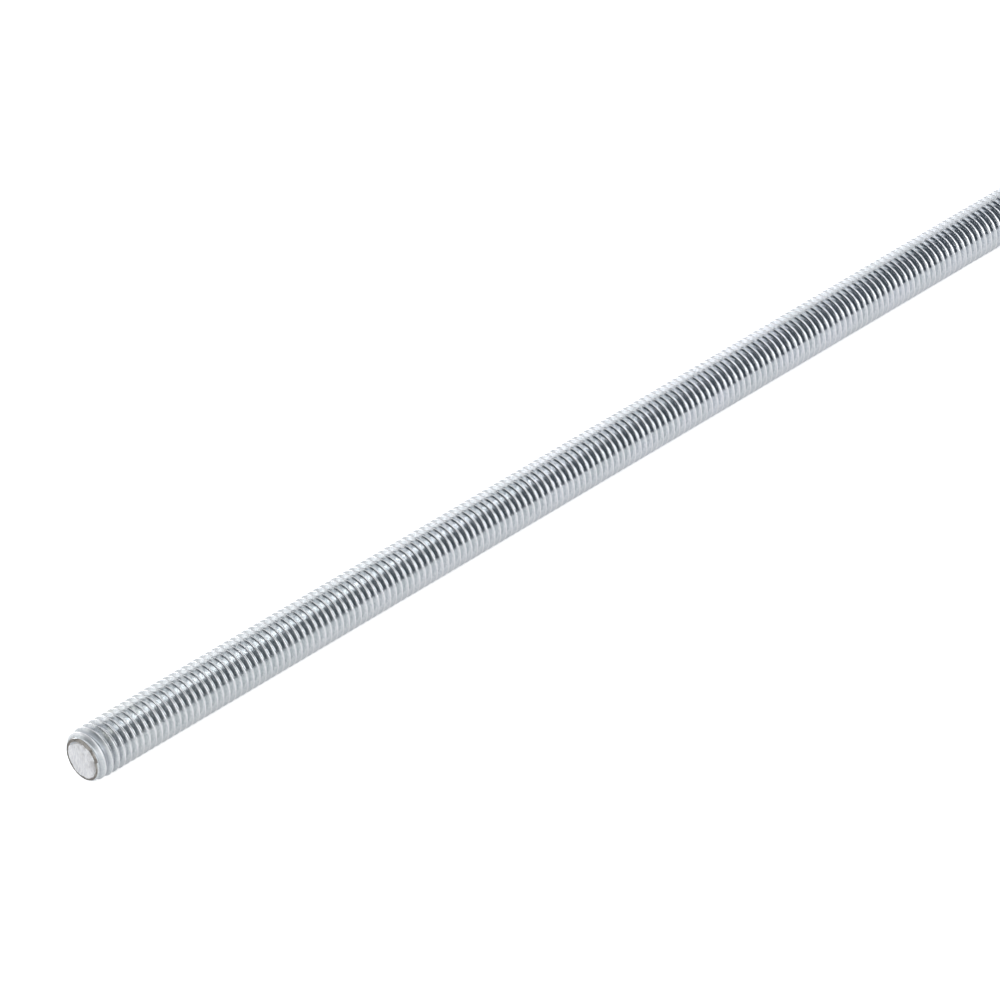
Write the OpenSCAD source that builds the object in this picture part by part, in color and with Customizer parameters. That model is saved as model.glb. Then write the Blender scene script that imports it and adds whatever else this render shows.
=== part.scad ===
// Threaded rod: a round steel bar with a thread rolled along its whole length, lying along X.
// The thread has its real section and pitch, as one ring groove at each pitch. The lead that
// joins the real grooves into one helix, a lean of three degrees, is left out here.

/* [Rod] */
// Length over both ends
rod_length = 250; // [60:1:400]
// Outside diameter over the thread crests
major_d = 10; // [9:0.1:12]

/* [Thread] */
// Distance from one crest to the next
pitch = 1.5; // [1:0.05:2]
// Angle between the two flanks of a groove
flank_angle = 60; // [50:1:65]
// Width of the flat top of each crest
crest_flat = 0.1875; // [0.1:0.0025:0.25]
// Width of the flat bottom of each groove
root_flat = 0.25; // [0.1:0.01:0.3]

/* [Ends] */
// Length of the chamfer at each end
chamfer_length = 1.4; // [0.8:0.1:2.5]
// How far the chamfer goes below the groove bottom at the end face
chamfer_undercut = 0.03; // [0.02:0.01:0.2]
// Width of the raised rim round each end face
rim_width = 0.5; // [0.3:0.05:0.9]
// Depth of the shallow hollow inside the rim
hollow_depth = 0.25; // [0.1:0.05:0.5]
// Distance over which the hollow drops away from the rim
hollow_slope = 0.35; // [0.2:0.05:0.8]

/* [Hidden] */
// A curve with more than twelve sides is taken as a true circle
$fn = 96;
major_r = major_d / 2;
flank_width = (pitch - crest_flat - root_flat) / 2;
thread_depth = flank_width / tan(flank_angle / 2);
minor_r = major_r - thread_depth;
end_r = minor_r - chamfer_undercut;
rim_r = end_r - rim_width;
hollow_r = rim_r - hollow_slope;
// The groove's cut runs on past the crests, so that its mouth is open
mouth_over = 0.2;
mouth_half = root_flat / 2 + flank_width + mouth_over * tan(flank_angle / 2);
// Grooves on each side of the one at mid length, to past the end faces
side_grooves = ceil(rod_length / 2 / pitch);

// Half section of the plain bar: radius along the first axis, distance from mid length along the
// second, with a chamfer, a rim and a shallow hollow at both ends
module bar_section() {
    half = rod_length / 2;
    end = [
        [hollow_r, half - hollow_depth],
        [rim_r, half],
        [end_r, half],
        [major_r, half - chamfer_length],
    ];
    far_end = [for (i = [len(end) - 1 : -1 : 0]) [end[i].x, -end[i].y]];
    polygon(concat([[0, half - hollow_depth]], end, far_end, [[0, hollow_depth - half]]));
}

// Section of one groove, centred on the first axis, open towards the crests
module groove_section() {
    polygon([
        [minor_r, -root_flat / 2],
        [major_r + mouth_over, -mouth_half],
        [major_r + mouth_over, mouth_half],
        [minor_r, root_flat / 2],
    ]);
}

// The bar with a groove at every pitch, turned to lie along X
module threaded_rod() {
    color([0.76, 0.78, 0.79])
        rotate([0, 90, 0])
            rotate_extrude()
                difference() {
                    bar_section();
                    for (i = [-side_grooves : side_grooves])
                        translate([0, i * pitch]) groove_section();
                }
}

threaded_rod();
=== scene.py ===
# A zinc-plated threaded rod: a round steel bar with a right-hand metric thread rolled along it.
from math import cos, pi, radians, sin, sqrt, tan
import bpy
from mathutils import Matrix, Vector


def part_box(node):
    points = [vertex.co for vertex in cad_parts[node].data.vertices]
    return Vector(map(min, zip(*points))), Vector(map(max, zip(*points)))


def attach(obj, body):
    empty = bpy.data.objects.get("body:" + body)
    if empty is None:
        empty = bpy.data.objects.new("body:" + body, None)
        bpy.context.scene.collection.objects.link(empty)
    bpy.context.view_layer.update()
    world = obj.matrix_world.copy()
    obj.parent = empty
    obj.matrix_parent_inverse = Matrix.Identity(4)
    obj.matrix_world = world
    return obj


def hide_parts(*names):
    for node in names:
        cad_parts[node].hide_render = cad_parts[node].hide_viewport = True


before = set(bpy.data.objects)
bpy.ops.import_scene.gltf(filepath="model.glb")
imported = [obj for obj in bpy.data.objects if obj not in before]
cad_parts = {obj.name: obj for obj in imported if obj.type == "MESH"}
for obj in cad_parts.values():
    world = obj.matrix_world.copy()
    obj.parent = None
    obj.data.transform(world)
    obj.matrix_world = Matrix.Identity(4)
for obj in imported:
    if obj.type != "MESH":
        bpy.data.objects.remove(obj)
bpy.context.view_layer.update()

rod_low, rod_high = (Vector(corner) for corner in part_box("threaded_rod"))
bpy.ops.object.select_all(action="DESELECT")

# The camera looks down along the rod from beyond its near end, as the photograph does. The rod
# starts low on the left and runs out of the frame on the right. The lens is long, so the rod
# narrows only a little with distance.
frame_px = 1000
sensor_mm = 36
lens_mm = 263.2
heading = radians(44.64)
look_down = radians(35.53)
near_end_px = Vector((82.0, 758.1))
near_end_away = 1.293
focal_px = lens_mm / sensor_mm * frame_px
ahead = Vector((cos(look_down) * cos(heading), cos(look_down) * sin(heading), -sin(look_down)))
camera_turn = ahead.to_track_quat("-Z", "Y")
across = camera_turn @ Vector((1, 0, 0))
upright = camera_turn @ Vector((0, 1, 0))
near_end = Vector((rod_low.x, 0, 0))
off_centre = (near_end_px - Vector((frame_px / 2, frame_px / 2))) / focal_px * near_end_away
camera_at = near_end - near_end_away * ahead - off_centre.x * across + off_centre.y * upright
bpy.ops.object.camera_add(location=camera_at, rotation=camera_turn.to_euler())
camera = bpy.context.object
camera.name = "camera"
camera.data.sensor_width = sensor_mm
camera.data.lens = lens_mm
camera.data.clip_end = 50
bpy.context.scene.camera = camera
bpy.context.scene.view_settings.view_transform = "Standard"

# The floor is a plain white sheet that the rod lies on, wide enough to fill the view from any
# side. To the camera it is lifted to white, with the rod's soft shadow left in. The lower half of
# the thread mirrors it, where it is lifted a little.
floor_size = 12
floor_white = (0.9, 0.9, 0.9, 1)
floor_lift = 0.6
mirror_lift = 0.08
bpy.ops.mesh.primitive_plane_add(size=floor_size, location=(0, 0, rod_low.z))
floor = bpy.context.object
floor.name = "floor"
floor_paper = bpy.data.materials.new("floor_paper")
floor_paper.use_nodes = True
paper_nodes = floor_paper.node_tree.nodes
paper_links = floor_paper.node_tree.links
paper = paper_nodes["Principled BSDF"]
paper.inputs["Base Color"].default_value = floor_white
paper.inputs["Roughness"].default_value = 0.9
paper.inputs["Emission Color"].default_value = (1, 1, 1, 1)
paper_sight = paper_nodes.new("ShaderNodeLightPath")
in_mirror = paper_nodes.new("ShaderNodeMath")
in_mirror.operation = "MULTIPLY"
in_mirror.inputs[1].default_value = mirror_lift
lift = paper_nodes.new("ShaderNodeMath")
lift.operation = "MULTIPLY_ADD"
lift.inputs[1].default_value = floor_lift
paper_links.new(paper_sight.outputs["Is Glossy Ray"], in_mirror.inputs[0])
paper_links.new(paper_sight.outputs["Is Camera Ray"], lift.inputs[0])
paper_links.new(in_mirror.outputs[0], lift.inputs[2])
paper_links.new(lift.outputs[0], paper.inputs["Emission Strength"])
floor.data.materials.append(floor_paper)


# Softboxes and pale walls stand well away from the rod. One small softbox hangs close over the
# near end, so what it lights fades along the rod. Places are in degrees round and above the rod,
# and so are the lamps' widths and heights.
def direction(azimuth, elevation):
    """The direction of a place round and above the rod."""
    turn, climb = radians(azimuth), radians(elevation)
    return Vector((cos(climb) * cos(turn), cos(climb) * sin(turn), sin(climb)))


def hang_softbox(name, azimuth, elevation, wide, high, bright, away=2.5, aim_x=0.0):
    """Hangs a softbox that faces a point on the rod's axis, bright as seen from there."""
    towards = direction(azimuth, elevation)
    facing = towards.to_track_quat("Z", "Y").to_euler()
    bpy.ops.object.light_add(type="AREA", location=Vector((aim_x, 0, 0)) + away * towards, rotation=facing)
    light = bpy.context.object
    light.name = name
    light.data.shape = "RECTANGLE"
    light.data.size = 2 * away * tan(radians(wide) / 2)
    light.data.size_y = 2 * away * tan(radians(high) / 2)
    light.data.energy = bright * pi * light.data.size * light.data.size_y


hang_softbox("right_softbox", azimuth=326, elevation=25, wide=28, high=42, bright=1.8)
hang_softbox("front_softbox", azimuth=246, elevation=26, wide=40, high=34, bright=2.05)
hang_softbox("far_softbox", azimuth=18, elevation=47, wide=62, high=18, bright=0.4)
hang_softbox("back_wall", azimuth=100, elevation=16, wide=92, high=31, bright=0.78)
hang_softbox("back_strip", azimuth=78, elevation=7, wide=36, high=14, bright=3.8)
hang_softbox("side_strip", azimuth=128, elevation=8, wide=24, high=12, bright=0.4)
hang_softbox("top_softbox", azimuth=357, elevation=75, wide=26, high=17, bright=2.3, away=0.45, aim_x=-0.115)

# The room is dim and bluish, with soft white glows on its walls that fade at their edges. The
# camera sees it white.
room_dim = (0.06, 0.075, 0.09, 1)
room = bpy.data.worlds.new("room")
bpy.context.scene.world = room
room.use_nodes = True
room_nodes = room.node_tree.nodes
room_links = room.node_tree.links
room_dome = room_nodes.new("ShaderNodeTexCoord").outputs["Generated"]


def add_glow(others, name, azimuth, elevation, reach, bright):
    """Adds a round glow, reach degrees from its middle to its edge, to the sum of the others."""
    nearness = room_nodes.new("ShaderNodeVectorMath")
    nearness.operation = "DOT_PRODUCT"
    nearness.inputs[1].default_value = direction(azimuth, elevation)
    fade = room_nodes.new("ShaderNodeMapRange")
    fade.name = name
    fade.interpolation_type = "SMOOTHSTEP"
    fade.inputs["From Min"].default_value = cos(radians(reach))
    fade.inputs["From Max"].default_value = cos(radians(reach / 4))
    fade.inputs["To Max"].default_value = bright
    total = room_nodes.new("ShaderNodeMath")
    room_links.new(room_dome, nearness.inputs[0])
    room_links.new(nearness.outputs["Value"], fade.inputs["Value"])
    room_links.new(fade.outputs[0], total.inputs[0])
    room_links.new(others, total.inputs[1])
    return total.outputs[0]


glow_sum = room_nodes.new("ShaderNodeValue").outputs[0]
glow_sum.default_value = 0
glow_sum = add_glow(glow_sum, "right_low", azimuth=312, elevation=2, reach=16, bright=3.0)
glow_sum = add_glow(glow_sum, "right_high", azimuth=338, elevation=56, reach=22, bright=0.2)
glow_sum = add_glow(glow_sum, "front_left", azimuth=214, elevation=20, reach=24, bright=1.6)
glow_sum = add_glow(glow_sum, "back_high", azimuth=80, elevation=58, reach=26, bright=0.7)
glow_sum = add_glow(glow_sum, "rear_high", azimuth=125, elevation=54, reach=28, bright=1.0)
glow_sum = add_glow(glow_sum, "front_high", azimuth=222, elevation=56, reach=26, bright=1.3)
glow_sum = add_glow(glow_sum, "end_high", azimuth=180, elevation=56, reach=26, bright=0.9)
room_light = room_nodes.new("ShaderNodeMix")
room_light.data_type = "RGBA"
room_light.blend_type = "ADD"
room_light.inputs[0].default_value = 1
room_light.inputs[6].default_value = room_dim
room_links.new(glow_sum, room_light.inputs[7])
room_sight = room_nodes.new("ShaderNodeLightPath")
seen_white = room_nodes.new("ShaderNodeMix")
seen_white.data_type = "RGBA"
seen_white.inputs[7].default_value = (1, 1, 1, 1)
room_links.new(room_sight.outputs["Is Camera Ray"], seen_white.inputs[0])
room_links.new(room_light.outputs[2], seen_white.inputs[6])
room_links.new(seen_white.outputs[2], room_nodes["Background"].inputs["Color"])

# The rod is one steel bar. Its thread is rolled, so each groove has straight flanks, 60 degrees
# apart, between a rounded bottom and rounded crests. It runs as one right-hand helix from end to
# end. The section is one pitch of it, from groove bottom to groove bottom.
pitch = 0.0015
crest_r = rod_high.z
groove_r = 0.00408
crest_half = pitch / 20
crest_top_half = 0.00003
crest_round = (crest_half - crest_top_half) * sqrt(3)
root_round = pitch * sqrt(3) / 12
section = []
for angle in (0, 30, 60):
    lean = radians(angle)
    section.append((root_round * sin(lean), groove_r + root_round * (1 - cos(lean))))
for angle, side in ((-60, -1), (-30, -1), (0, -1), (0, 1), (30, 1), (60, 1)):
    lean = radians(angle)
    x = pitch / 2 + side * crest_top_half + crest_round * sin(lean)
    section.append((x, crest_r - crest_round * (1 - cos(lean))))
for angle in (-60, -30, 0):
    lean = radians(angle)
    section.append((pitch + root_round * sin(lean), groove_r + root_round * (1 - cos(lean))))


def draw_line(name, points):
    """A chain of edges in the X-Z plane, extruded point by point from the first point."""
    x, r = points[0]
    bpy.ops.object.select_all(action="DESELECT")
    bpy.ops.mesh.primitive_plane_add(size=0.001, location=(x, 0, r))
    line = bpy.context.object
    line.name = name
    bpy.ops.object.transform_apply(location=True, rotation=False, scale=False)
    bpy.ops.object.mode_set(mode="EDIT")
    bpy.ops.mesh.select_all(action="SELECT")
    bpy.ops.mesh.merge(type="CENTER")
    for (x0, r0), (x1, r1) in zip(points, points[1:]):
        step = (x1 - x0, 0, r1 - r0)
        bpy.ops.mesh.extrude_vertices_move(TRANSFORM_OT_translate={"value": step})
    bpy.ops.object.mode_set(mode="OBJECT")
    return line


def wind(line, rise, rounds, steps):
    """Winds the line round the X axis with the Screw modifier, and joins what meets."""
    screw = line.modifiers.new("wind", "SCREW")
    screw.axis = "X"
    screw.screw_offset = rise
    screw.iterations = rounds
    screw.steps = steps
    screw.render_steps = steps
    screw.use_merge_vertices = True
    screw.merge_threshold = 1e-7
    bpy.ops.object.modifier_apply(modifier=screw.name)
    bpy.ops.object.mode_set(mode="EDIT")
    bpy.ops.mesh.select_all(action="SELECT")
    bpy.ops.mesh.remove_doubles(threshold=1e-6)
    bpy.ops.object.mode_set(mode="OBJECT")


def turn_outwards():
    """Points the active mesh's faces outwards."""
    bpy.ops.object.mode_set(mode="EDIT")
    bpy.ops.mesh.select_all(action="SELECT")
    bpy.ops.mesh.normals_make_consistent(inside=False)
    bpy.ops.object.mode_set(mode="OBJECT")


def select_vertices(part, test):
    """Leaves part in edit mode, with only the vertices selected that pass the test."""
    bpy.ops.object.mode_set(mode="EDIT")
    bpy.ops.mesh.select_mode(type="VERT")
    bpy.ops.mesh.select_all(action="DESELECT")
    bpy.ops.object.mode_set(mode="OBJECT")
    for vertex in part.data.vertices:
        vertex.select = test(vertex)
    bpy.ops.object.mode_set(mode="EDIT")


def close_end(part, side):
    """Closes the open edge of the wound thread on one side with a fan of triangles."""
    bpy.ops.object.mode_set(mode="EDIT")
    bpy.ops.mesh.select_mode(type="VERT")
    bpy.ops.mesh.select_all(action="DESELECT")
    bpy.ops.mesh.select_non_manifold()
    bpy.ops.object.mode_set(mode="OBJECT")
    rim = {v.index for v in part.data.vertices if v.select and v.co.x * side > 0}
    select_vertices(part, lambda vertex: vertex.index in rim)
    bpy.ops.mesh.extrude_edges_move()
    bpy.ops.mesh.merge(type="CENTER")
    bpy.ops.object.mode_set(mode="OBJECT")


rod_half = rod_high.x
turn_steps = 48
spare_turns = 2
thread_phase = 0.00029
turns = int(2 * rod_half / pitch) + 2 * spare_turns
thread_start = thread_phase - rod_half - spare_turns * pitch
rod = draw_line("rod_surface", [(thread_start + x, r) for x, r in section])
wind(rod, pitch, turns, turn_steps)
close_end(rod, -1)
close_end(rod, 1)
turn_outwards()

# The crests run out lower over the last millimetres of each end, while the groove bottoms stay
crest_foot_r = 0.0045
taper_scale = 0.87
taper_reach = 0.0035
for side in (-1, 1):
    select_vertices(rod, lambda vertex: vertex.co.yz.length < crest_foot_r)
    bpy.ops.mesh.hide(unselected=False)
    select_vertices(rod, lambda vertex: not vertex.hide and vertex.co.x * side > rod_half)
    bpy.ops.transform.resize(
        value=(1, taper_scale, taper_scale), center_override=(side * rod_half, 0, 0),
        use_proportional_edit=True, proportional_edit_falloff="SHARP", proportional_size=taper_reach)
    bpy.ops.mesh.reveal(select=False)
    bpy.ops.object.mode_set(mode="OBJECT")

# Outline of one end, from the axis outwards: a shallow hollow, a rim and a chamfer in two slopes,
# the second of which runs on past the crests
end_face_r = 0.00405
rim_width = 0.0005
hollow_depth = 0.00025
hollow_slope = 0.00035
break_depth = 0.00025
break_r = 0.0043
chamfer_length = 0.0014
past_crest = 0.0003
end_sides = 96
end_points = [
    (hollow_depth, 0),
    (hollow_depth, end_face_r - rim_width - hollow_slope),
    (0, end_face_r - rim_width),
    (0, end_face_r),
    (break_depth, break_r),
    (chamfer_length, crest_r + past_crest),
]
near_points = [(x - rod_half, r) for x, r in end_points]
far_points = [(rod_half - x, r) for x, r in reversed(end_points)]
blank = draw_line("blank", near_points + far_points)
wind(blank, 0, 1, end_sides)
turn_outwards()

# The near end was sheared, which pressed its face a little low
face_drop = 0.0004
drop_reach = 0.0025
face_slack = 0.00001
for part in (rod, blank):
    bpy.ops.object.select_all(action="DESELECT")
    bpy.context.view_layer.objects.active = part
    part.select_set(True)
    select_vertices(part, lambda vertex: vertex.co.x < face_slack - rod_half)
    bpy.ops.transform.translate(
        value=(0, 0, -face_drop), use_proportional_edit=True,
        proportional_edit_falloff="SHARP", proportional_size=drop_reach)
    bpy.ops.object.mode_set(mode="OBJECT")

# The blank trims the thread to the rod's length and ends
crease = radians(38)
bpy.ops.object.select_all(action="DESELECT")
bpy.context.view_layer.objects.active = rod
rod.select_set(True)
trim = rod.modifiers.new("trim", "BOOLEAN")
trim.operation = "INTERSECT"
trim.solver = "EXACT"
trim.object = blank
bpy.ops.object.modifier_apply(modifier=trim.name)
bpy.data.objects.remove(blank)
bpy.ops.object.shade_smooth_by_angle(angle=crease)
even = rod.modifiers.new("even", "WEIGHTED_NORMAL")
even.keep_sharp = True
bpy.ops.object.modifier_apply(modifier=even.name)


def node(tree, kind, **inputs):
    """Adds a shader node, and sets or links its inputs by name or number."""
    made = tree.nodes.new("ShaderNode" + kind)
    for key, value in inputs.items():
        socket = made.inputs[int(key[1:]) if key[1:].isdigit() else key.replace("_", " ")]
        if isinstance(value, bpy.types.NodeSocket):
            tree.links.new(value, socket)
        else:
            socket.default_value = value
    return made


def sum_of(tree, operation, *values):
    """A Math node's output."""
    made = node(tree, "Math", **{f"n{i}": value for i, value in enumerate(values)})
    made.operation = operation
    return made.outputs[0]


def ramp(tree, value, low, high, start=0.0, end=1.0):
    """Maps value from low..high to start..end, held at both ends."""
    made = node(tree, "MapRange", Value=value, From_Min=low, From_Max=high, To_Min=start, To_Max=end)
    return made.outputs[0]


def sharp_fade(tree, distance, reach):
    """From 1 at no distance to 0 at reach, as the Sharp falloff that shaped the ends."""
    share = ramp(tree, distance, 0.0, reach, 1.0, 0.0)
    return sum_of(tree, "MULTIPLY", share, share)


def blend(tree, share, first, second):
    """A colour between first and second."""
    made = node(tree, "Mix")
    made.data_type = "RGBA"
    for socket, value in ((made.inputs[0], share), (made.inputs[6], first), (made.inputs[7], second)):
        if isinstance(value, bpy.types.NodeSocket):
            tree.links.new(value, socket)
        else:
            socket.default_value = value
    return made.outputs[2]


def noise(tree, place, scale, detail, roughness):
    """A Noise texture's values."""
    made = node(tree, "TexNoise", Vector=place, Scale=scale, Detail=detail, Roughness=roughness)
    return made.outputs[0]


def distance_off_axis(tree, sideways, above):
    """Distance from the rod's axis of a point sideways of and above it."""
    length = node(tree, "VectorMath", n0=node(tree, "CombineXYZ", n1=sideways, n2=above).outputs[0])
    length.operation = "LENGTH"
    return length.outputs["Value"]


# Bright zinc plating, mottled by fine crystals. It is duller and rougher towards the near end, with painted
# shade in the grooves and a faint yellow haze on the upper side there. The crest tops carry a painted
# highlight.
plate_far = (0.81, 0.82, 0.86, 1)
plate_near = (0.81, 0.825, 0.83, 1)
cloud_grey = (0.73, 0.76, 0.77, 1)
mottle_grey = (0.54, 0.59, 0.63, 1)
haze_yellow = (0.86, 0.85, 0.74, 1)
groove_shade_grey = (0.48, 0.5, 0.54, 1)
crest_highlight_white = (0.92, 0.92, 0.94, 1)
zinc = bpy.data.materials.new("zinc_plating")
zinc.use_nodes = True
tree = zinc.node_tree
zinc_shader = tree.nodes["Principled BSDF"]
zinc_shader.inputs["Metallic"].default_value = 1
place = node(tree, "TexCoord").outputs["Object"]
along, sideways, above = node(tree, "SeparateXYZ", n0=place).outputs
from_end = sum_of(tree, "ADD", along, rod_half)
dropped = sum_of(tree, "MULTIPLY_ADD", sharp_fade(tree, from_end, drop_reach), face_drop, above)
radius = distance_off_axis(tree, sideways, dropped)
run_out = sharp_fade(tree, from_end, taper_reach)
run_out = sum_of(tree, "MULTIPLY", run_out, (1 - taper_scale) * crest_r)
above_crest = sum_of(tree, "SUBTRACT", radius, sum_of(tree, "SUBTRACT", crest_r, run_out))
mottle = noise(tree, place, 2600.0, 3.0, 0.65)
cloud = noise(tree, place, 140.0, 2.0, 0.5)
grain = noise(tree, place, 5200.0, 2.0, 0.6)
near_share = ramp(tree, from_end, 0.0, 1.2 * rod_half, 1.0, 0.0)
plate = blend(tree, near_share, plate_far, plate_near)
plate = blend(tree, ramp(tree, cloud, 0.35, 0.65, 0.0, 0.6), plate, cloud_grey)
plate = blend(tree, ramp(tree, mottle, 0.4, 0.65, 0.0, 0.6), plate, mottle_grey)
haze = ramp(tree, from_end, 0.008, 0.015, 1.0, 0.0)
haze = sum_of(tree, "MULTIPLY", haze, ramp(tree, from_end, 0.002, 0.004))
haze = sum_of(tree, "MULTIPLY", haze, ramp(tree, cloud, 0.45, 0.6, 0.0, 0.5))
haze = sum_of(tree, "MULTIPLY", haze, ramp(tree, above, 0.0005, 0.0025))
plate = blend(tree, haze, plate, haze_yellow)
# Painted shade: the grooves are painted darker over the first millimetres of the near end.
groove_painted_shade = ramp(tree, above_crest, -0.0006, -0.0002, 0.7, 0.0)
groove_painted_shade = sum_of(tree, "MULTIPLY", groove_painted_shade, ramp(tree, from_end, 0.003, 0.009, 1.0, 0.0))
plate = blend(tree, groove_painted_shade, plate, groove_shade_grey)
# Painted highlight: the crest tops are painted near white.
crest_highlight = ramp(tree, above_crest, -0.0001, -0.00003, 0.0, 0.9)
plate = blend(tree, crest_highlight, plate, crest_highlight_white)
tree.links.new(plate, zinc_shader.inputs["Base Color"])
rough = ramp(tree, mottle, 0.3, 0.7, 0.07, 0.14)
rough = sum_of(tree, "MULTIPLY_ADD", near_share, 0.05, rough)
rough = sum_of(tree, "ADD", rough, ramp(tree, from_end, 0.0015, 0.0065, 0.22, 0.0))
tree.links.new(rough, zinc_shader.inputs["Roughness"])
dents = ramp(tree, from_end, 0.0, rod_half, 0.45, 0.25)
fine = node(tree, "Bump", Strength=0.25, Distance=0.00002, Height=grain).outputs[0]
coarse = node(tree, "Bump", Strength=dents, Distance=0.00006, Height=mottle, Normal=fine).outputs[0]
tree.links.new(coarse, zinc_shader.inputs["Normal"])
rod.data.materials.clear()
rod.data.materials.append(zinc)

# The end faces are sawn steel under a thin, rough plating, with a ragged brown rim where it is bare. The
# upper right of each face carries painted shade: it is painted darker, its brown rim is painted wider there,
# and a finer painted shade line lies inside the rim.
sawn_grey = (0.78, 0.78, 0.81, 1)
sawn_white = (1, 1, 1, 1)
shade_grey = (0.5, 0.49, 0.49, 1)
rust_dark = (0.15, 0.13, 0.11, 1)
rust_pale = (0.5, 0.47, 0.43, 1)
shade_line_brown = (0.22, 0.2, 0.18, 1)
narrow_ring = 0.0004
shaded_rim_width = 0.0006
ring_wander = 0.0008
ring_edge = 0.00006
shade_line_r = 0.0032
shade_line_inside = 0.00005
shade_line_outside = 0.00015
saw_lean = (0.5, 0, 0)
saw_scale = (1, 4200, 900)
cut_end = bpy.data.materials.new("cut_end")
cut_end.use_nodes = True
tree = cut_end.node_tree
cut_shader = tree.nodes["Principled BSDF"]
cut_shader.inputs["Metallic"].default_value = 0.85
cut_shader.inputs["Roughness"].default_value = 0.5
place = node(tree, "TexCoord").outputs["Object"]
along, sideways, above = node(tree, "SeparateXYZ", n0=place).outputs
dropped = sum_of(tree, "MULTIPLY_ADD", sum_of(tree, "LESS_THAN", along, 0.0), face_drop, above)
radius = distance_off_axis(tree, sideways, dropped)
saw_place = node(tree, "Mapping", Vector=place, Rotation=saw_lean, Scale=saw_scale).outputs[0]
streak = noise(tree, saw_place, 1.0, 3.0, 0.6)
blotch = noise(tree, place, 900.0, 3.0, 0.6)
ragged = sum_of(tree, "MULTIPLY_ADD", blotch, ring_wander, radius)
ragged = sum_of(tree, "SUBTRACT", ragged, ring_wander / 2)
# Painted shade: this mask picks the upper right of the face, which is painted darker and given a wider dark
# rim.
shaded_side = sum_of(tree, "SUBTRACT", above, sum_of(tree, "MULTIPLY", sideways, 0.8))
shaded_side = ramp(tree, shaded_side, -0.002, 0.004)
disc = blend(tree, ramp(tree, streak, 0.35, 0.65), sawn_grey, sawn_white)
shade_patch = sum_of(tree, "MULTIPLY", shaded_side, ramp(tree, blotch, 0.4, 0.6))
disc = blend(tree, shade_patch, disc, shade_grey)
ring_start = ramp(tree, shaded_side, 0.0, 1.0, end_face_r - narrow_ring, end_face_r - shaded_rim_width)
ring = ramp(tree, sum_of(tree, "SUBTRACT", ragged, ring_start), -ring_edge, ring_edge, 0.0, 0.9)
ring_light = sum_of(tree, "MULTIPLY", shaded_side, ramp(tree, blotch, 0.45, 0.55, 0.0, 0.9))
face = blend(tree, ring, disc, blend(tree, ring_light, rust_dark, rust_pale))
# Painted shade: a thin dark line along the hollow's step, on the upper right only.
shade_line = ramp(tree, ragged, shade_line_r - shade_line_outside, shade_line_r - shade_line_inside)
shade_line_end = ramp(tree, ragged, shade_line_r + shade_line_inside, shade_line_r + shade_line_outside, 1.0, 0.0)
shade_line = sum_of(tree, "MULTIPLY", shade_line, shade_line_end)
shade_line = sum_of(tree, "MULTIPLY", shade_line, shaded_side)
face = blend(tree, shade_line, face, shade_line_brown)
tree.links.new(face, cut_shader.inputs["Base Color"])
scored = node(tree, "Bump", Strength=0.6, Distance=0.00005, Height=streak).outputs[0]
pitted = node(tree, "Bump", Strength=0.5, Distance=0.00008, Height=blotch, Normal=scored).outputs[0]
tree.links.new(pitted, cut_shader.inputs["Normal"])
rod.data.materials.append(cut_end)
face_start = rod_half - 1.2 * hollow_depth
face_reach = end_face_r + face_drop
flat_enough = 0.75
for polygon in rod.data.polygons:
    spot = polygon.center
    faces_out = abs(polygon.normal.x) > flat_enough
    if abs(spot.x) > face_start and spot.yz.length < face_reach and faces_out:
        polygon.material_index = 1

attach(rod, "root")
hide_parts("threaded_rod")
